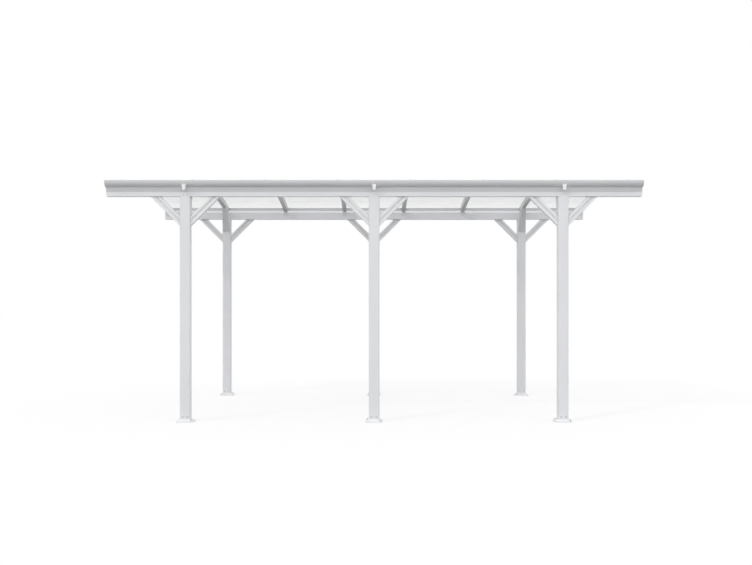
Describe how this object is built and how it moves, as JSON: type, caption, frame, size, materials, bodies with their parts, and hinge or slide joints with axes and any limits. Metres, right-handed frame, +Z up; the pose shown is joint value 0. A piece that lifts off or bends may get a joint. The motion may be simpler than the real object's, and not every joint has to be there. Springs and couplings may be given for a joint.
{
  "type": "carport",
  "caption": "Free-standing open carport: white posts with knee braces carry two gutters, arched ribs and curved clear roof panels.",
  "frame": {"origin": "on the ground, at the middle of the carport's plan", "axes": "+X along the gutters, +Y across the car bay away from the pictured side, +Z up"},
  "size_m": [5, 2.998, 2.3666],
  "materials": {
    "frame_white": "satin powder coat on aluminium",
    "foot_white": "satin powder coat on a pressed foot",
    "bracket_white": "moulded, smooth",
    "panel_clear": "clear twin-wall sheet with fine flutes"
  },
  "bodies": {
    "root": {"post_front_left": "frame_white", "foot_front_left": "foot_white", "braces_front_left": "frame_white", "post_front_middle": "frame_white", "foot_front_middle": "foot_white", "braces_front_middle": "frame_white", "post_front_right": "frame_white", "foot_front_right": "foot_white", "braces_front_right": "frame_white", "cross_braces_front": "frame_white", "gutter_front": "frame_white", "gutter_caps_front": "frame_white", "rib_shoes_front": "frame_white", "eave_rail_front": "frame_white", "post_back_left": "frame_white", "foot_back_left": "foot_white", "braces_back_left": "frame_white", "post_back_middle": "frame_white", "foot_back_middle": "foot_white", "braces_back_middle": "frame_white", "post_back_right": "frame_white", "foot_back_right": "foot_white", "braces_back_right": "frame_white", "cross_braces_back": "frame_white", "gutter_back": "frame_white", "gutter_caps_back": "frame_white", "rib_shoes_back": "frame_white", "eave_rail_back": "frame_white", "gutter_brackets": "bracket_white", "rib_1": "frame_white", "rib_2": "frame_white", "rib_3": "frame_white", "rib_4": "frame_white", "rib_5": "frame_white", "rib_6": "frame_white", "rib_7": "frame_white", "rib_8": "frame_white", "roof_panel_1": "panel_clear", "roof_panel_2": "panel_clear", "roof_panel_3": "panel_clear", "roof_panel_4": "panel_clear", "roof_panel_5": "panel_clear", "roof_panel_6": "panel_clear", "roof_panel_7": "panel_clear", "glazing_caps": "frame_white"}
  },
  "joints": []
}
